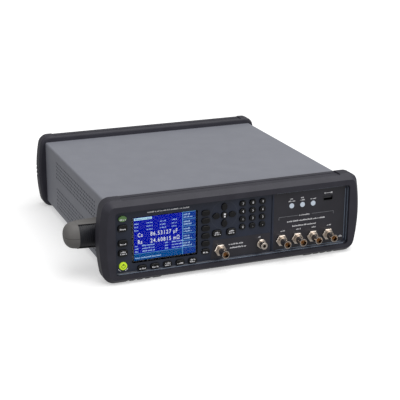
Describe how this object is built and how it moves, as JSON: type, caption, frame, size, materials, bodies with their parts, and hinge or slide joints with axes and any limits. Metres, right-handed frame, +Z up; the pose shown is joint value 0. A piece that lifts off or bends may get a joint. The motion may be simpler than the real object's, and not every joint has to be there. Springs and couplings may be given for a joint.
{
  "type": "lcr meter",
  "caption": "Bench LCR meter: flat case between rubber bumpers, with a colour display, press keys, coaxial test sockets and a round-ended side grip.",
  "frame": {"origin": "middle of the overall box, on the surface that the feet stand on", "axes": "+Z up, -Y out of the front panel towards the user, +X to the user's right"},
  "size_m": [0.381, 0.371, 0.105],
  "materials": {
    "cover_paint": "satin textured paint",
    "zinc_steel": "bright zinc plate",
    "bezel_plastic": "fine moulded texture",
    "plate_print": "printed polyester over the plate",
    "window_clear": "clear acrylic",
    "lcd_blue": "lit liquid crystal panel",
    "circuit_board": "solder mask",
    "supply_parts": "varnished windings and sleeved capacitors",
    "black_plastic": "moulded",
    "bumper_rubber": "moulded, matt",
    "sleeve_rubber": "ribbed",
    "grip_plastic": "moulded",
    "nickel_plate": "nickel plate",
    "usb_steel": "tinned",
    "socket_lining": "moulded",
    "lens_white": "translucent white",
    "key_black": "moulded silicone-tipped key",
    "power_green": "translucent, lit from behind",
    "display_green": "moulded"
  },
  "bodies": {
    "case": {"case_cover": "cover_paint", "chassis_tray": "zinc_steel", "front_bezel": "bezel_plastic", "terminal_plate": "plate_print", "display_window": "window_clear", "lcd_module": "lcd_blue", "key_board": "circuit_board", "main_board": "circuit_board", "power_supply": "supply_parts", "fan_frame": "black_plastic", "rear_panel": "zinc_steel", "front_bumper": "bumper_rubber", "rear_bumper": "bumper_rubber", "mains_inlet": "black_plastic", "bus_connector": "zinc_steel", "lan_port": "zinc_steel", "bnc_sockets": "nickel_plate", "bnc_inserts": "socket_lining", "ground_jack": "nickel_plate", "usb_port": "usb_steel", "indicator_lenses": "lens_white", "handle_spindle": "black_plastic"},
    "handle": {"handle_sleeve": "sleeve_rubber", "handle_grip": "grip_plastic"},
    "fan_rotor": {"fan_rotor": "black_plastic"},
    "power_key": {"power_key": "power_green"},
    "display_key": {"display_key": "display_green"},
    "preset_key": {"preset_key": "key_black"},
    "bias_key": {"bias_key": "key_black"},
    "trigger_key": {"trigger_key": "key_black"},
    "return_key": {"return_key": "key_black"},
    "enter_key": {"enter_key": "key_black"},
    "up_key": {"up_key": "key_black"},
    "left_key": {"left_key": "key_black"},
    "down_key": {"down_key": "key_black"},
    "right_key": {"right_key": "key_black"},
    "measure_key": {"measure_key": "key_black"},
    "system_key": {"system_key": "key_black"},
    "menu_key_1": {"menu_key_1": "key_black"},
    "menu_key_2": {"menu_key_2": "key_black"},
    "menu_key_3": {"menu_key_3": "key_black"},
    "menu_key_4": {"menu_key_4": "key_black"},
    "menu_key_5": {"menu_key_5": "key_black"},
    "soft_key_1": {"soft_key_1": "key_black"},
    "soft_key_2": {"soft_key_2": "key_black"},
    "soft_key_3": {"soft_key_3": "key_black"},
    "soft_key_4": {"soft_key_4": "key_black"},
    "soft_key_5": {"soft_key_5": "key_black"},
    "number_key_7": {"number_key_7": "key_black"},
    "number_key_8": {"number_key_8": "key_black"},
    "number_key_9": {"number_key_9": "key_black"},
    "number_key_4": {"number_key_4": "key_black"},
    "number_key_5": {"number_key_5": "key_black"},
    "number_key_6": {"number_key_6": "key_black"},
    "number_key_1": {"number_key_1": "key_black"},
    "number_key_2": {"number_key_2": "key_black"},
    "number_key_3": {"number_key_3": "key_black"},
    "number_key_0": {"number_key_0": "key_black"},
    "number_key_point": {"number_key_point": "key_black"},
    "number_key_sign": {"number_key_sign": "key_black"}
  },
  "joints": [
    {"name": "handle_turn", "type": "hinge", "parent": "case", "child": "handle", "pos_m": [-0.1595, -0.118, 0.0515], "axis": [-1, 0, 0], "range_deg": [-90, 90]},
    {"name": "fan_spin", "type": "hinge", "parent": "case", "child": "fan_rotor", "pos_m": [0.0815, 0.154, 0.0525], "axis": [0, 1, 0], "continuous": true},
    {"name": "power_key_press", "type": "slide", "parent": "case", "child": "power_key", "axis": [0, 1, 0], "range_m": [0, 0.001], "stiffness_N_per_m": 1500},
    {"name": "display_key_press", "type": "slide", "parent": "case", "child": "display_key", "axis": [0, 1, 0], "range_m": [0, 0.001], "stiffness_N_per_m": 1500},
    {"name": "preset_key_press", "type": "slide", "parent": "case", "child": "preset_key", "axis": [0, 1, 0], "range_m": [0, 0.001], "stiffness_N_per_m": 1500},
    {"name": "bias_key_press", "type": "slide", "parent": "case", "child": "bias_key", "axis": [0, 1, 0], "range_m": [0, 0.001], "stiffness_N_per_m": 1500},
    {"name": "trigger_key_press", "type": "slide", "parent": "case", "child": "trigger_key", "axis": [0, 1, 0], "range_m": [0, 0.001], "stiffness_N_per_m": 1500},
    {"name": "return_key_press", "type": "slide", "parent": "case", "child": "return_key", "axis": [0, 1, 0], "range_m": [0, 0.001], "stiffness_N_per_m": 1500},
    {"name": "enter_key_press", "type": "slide", "parent": "case", "child": "enter_key", "axis": [0, 1, 0], "range_m": [0, 0.001], "stiffness_N_per_m": 1500},
    {"name": "up_key_press", "type": "slide", "parent": "case", "child": "up_key", "axis": [0, 1, 0], "range_m": [0, 0.001], "stiffness_N_per_m": 1500},
    {"name": "left_key_press", "type": "slide", "parent": "case", "child": "left_key", "axis": [0, 1, 0], "range_m": [0, 0.001], "stiffness_N_per_m": 1500},
    {"name": "down_key_press", "type": "slide", "parent": "case", "child": "down_key", "axis": [0, 1, 0], "range_m": [0, 0.001], "stiffness_N_per_m": 1500},
    {"name": "right_key_press", "type": "slide", "parent": "case", "child": "right_key", "axis": [0, 1, 0], "range_m": [0, 0.001], "stiffness_N_per_m": 1500},
    {"name": "measure_key_press", "type": "slide", "parent": "case", "child": "measure_key", "axis": [0, 1, 0], "range_m": [0, 0.001], "stiffness_N_per_m": 1500},
    {"name": "system_key_press", "type": "slide", "parent": "case", "child": "system_key", "axis": [0, 1, 0], "range_m": [0, 0.001], "stiffness_N_per_m": 1500},
    {"name": "menu_key_1_press", "type": "slide", "parent": "case", "child": "menu_key_1", "axis": [0, 1, 0], "range_m": [0, 0.001], "stiffness_N_per_m": 1500},
    {"name": "menu_key_2_press", "type": "slide", "parent": "case", "child": "menu_key_2", "axis": [0, 1, 0], "range_m": [0, 0.001], "stiffness_N_per_m": 1500},
    {"name": "menu_key_3_press", "type": "slide", "parent": "case", "child": "menu_key_3", "axis": [0, 1, 0], "range_m": [0, 0.001], "stiffness_N_per_m": 1500},
    {"name": "menu_key_4_press", "type": "slide", "parent": "case", "child": "menu_key_4", "axis": [0, 1, 0], "range_m": [0, 0.001], "stiffness_N_per_m": 1500},
    {"name": "menu_key_5_press", "type": "slide", "parent": "case", "child": "menu_key_5", "axis": [0, 1, 0], "range_m": [0, 0.001], "stiffness_N_per_m": 1500},
    {"name": "soft_key_1_press", "type": "slide", "parent": "case", "child": "soft_key_1", "axis": [0, 1, 0], "range_m": [0, 0.001], "stiffness_N_per_m": 1500},
    {"name": "soft_key_2_press", "type": "slide", "parent": "case", "child": "soft_key_2", "axis": [0, 1, 0], "range_m": [0, 0.001], "stiffness_N_per_m": 1500},
    {"name": "soft_key_3_press", "type": "slide", "parent": "case", "child": "soft_key_3", "axis": [0, 1, 0], "range_m": [0, 0.001], "stiffness_N_per_m": 1500},
    {"name": "soft_key_4_press", "type": "slide", "parent": "case", "child": "soft_key_4", "axis": [0, 1, 0], "range_m": [0, 0.001], "stiffness_N_per_m": 1500},
    {"name": "soft_key_5_press", "type": "slide", "parent": "case", "child": "soft_key_5", "axis": [0, 1, 0], "range_m": [0, 0.001], "stiffness_N_per_m": 1500},
    {"name": "number_key_7_press", "type": "slide", "parent": "case", "child": "number_key_7", "axis": [0, 1, 0], "range_m": [0, 0.001], "stiffness_N_per_m": 1500},
    {"name": "number_key_8_press", "type": "slide", "parent": "case", "child": "number_key_8", "axis": [0, 1, 0], "range_m": [0, 0.001], "stiffness_N_per_m": 1500},
    {"name": "number_key_9_press", "type": "slide", "parent": "case", "child": "number_key_9", "axis": [0, 1, 0], "range_m": [0, 0.001], "stiffness_N_per_m": 1500},
    {"name": "number_key_4_press", "type": "slide", "parent": "case", "child": "number_key_4", "axis": [0, 1, 0], "range_m": [0, 0.001], "stiffness_N_per_m": 1500},
    {"name": "number_key_5_press", "type": "slide", "parent": "case", "child": "number_key_5", "axis": [0, 1, 0], "range_m": [0, 0.001], "stiffness_N_per_m": 1500},
    {"name": "number_key_6_press", "type": "slide", "parent": "case", "child": "number_key_6", "axis": [0, 1, 0], "range_m": [0, 0.001], "stiffness_N_per_m": 1500},
    {"name": "number_key_1_press", "type": "slide", "parent": "case", "child": "number_key_1", "axis": [0, 1, 0], "range_m": [0, 0.001], "stiffness_N_per_m": 1500},
    {"name": "number_key_2_press", "type": "slide", "parent": "case", "child": "number_key_2", "axis": [0, 1, 0], "range_m": [0, 0.001], "stiffness_N_per_m": 1500},
    {"name": "number_key_3_press", "type": "slide", "parent": "case", "child": "number_key_3", "axis": [0, 1, 0], "range_m": [0, 0.001], "stiffness_N_per_m": 1500},
    {"name": "number_key_0_press", "type": "slide", "parent": "case", "child": "number_key_0", "axis": [0, 1, 0], "range_m": [0, 0.001], "stiffness_N_per_m": 1500},
    {"name": "number_key_point_press", "type": "slide", "parent": "case", "child": "number_key_point", "axis": [0, 1, 0], "range_m": [0, 0.001], "stiffness_N_per_m": 1500},
    {"name": "number_key_sign_press", "type": "slide", "parent": "case", "child": "number_key_sign", "axis": [0, 1, 0], "range_m": [0, 0.001], "stiffness_N_per_m": 1500}
  ]
}
